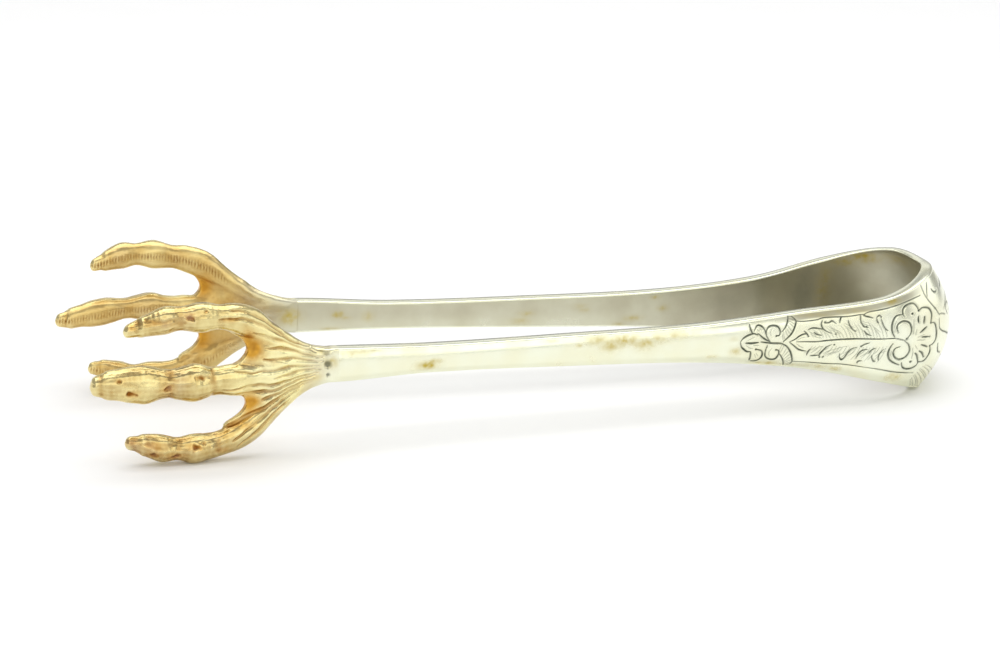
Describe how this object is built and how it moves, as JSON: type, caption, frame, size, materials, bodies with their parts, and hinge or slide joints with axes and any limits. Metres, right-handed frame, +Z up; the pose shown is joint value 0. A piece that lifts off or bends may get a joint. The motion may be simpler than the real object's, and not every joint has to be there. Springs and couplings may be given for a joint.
{
  "type": "claw tongs",
  "caption": "Spring tongs for ice or sugar: a domed silver bow, tapering arms and gilt bird's claws that close as the arms are squeezed.",
  "frame": {"origin": "on the ground, under the middle of the tongs' length, height and spread", "axes": "+X towards the bow and -X towards the claws, +Z up, across the width of the strap, with the tongs standing on edge; the left arm is on the -Y side"},
  "size_m": [0.165, 0.0454, 0.0275],
  "materials": {
    "silver": "polished silver, lightly tarnished, engraved at the bow",
    "gilt": "gilt casting, chased and pitted, darker in its hollows"
  },
  "bodies": {
    "bow": {"spring_bow": "silver"},
    "left_side": {"left_arm": "silver", "left_foot": "gilt", "left_upper_toe": "gilt", "left_middle_toe": "gilt", "left_lower_toe": "gilt", "left_upper_talon": "gilt", "left_middle_talon": "gilt", "left_lower_talon": "gilt"},
    "right_side": {"right_arm": "silver", "right_foot": "gilt", "right_upper_toe": "gilt", "right_middle_toe": "gilt", "right_lower_toe": "gilt", "right_upper_talon": "gilt", "right_middle_talon": "gilt", "right_lower_talon": "gilt"}
  },
  "joints": [
    {"name": "left_arm_spring", "type": "hinge", "parent": "bow", "child": "left_side", "pos_m": [0.06305, -0.0126, 0.0116], "axis": [-0.0218, 0, -0.9998], "range_deg": [-1.5, 6.8], "stiffness_Nm_per_rad": 6},
    {"name": "right_arm_spring", "type": "hinge", "parent": "bow", "child": "right_side", "pos_m": [0.06305, 0.0126, 0.0116], "axis": [0.0218, 0, 0.9998], "range_deg": [-1.5, 6.8], "stiffness_Nm_per_rad": 6}
  ]
}
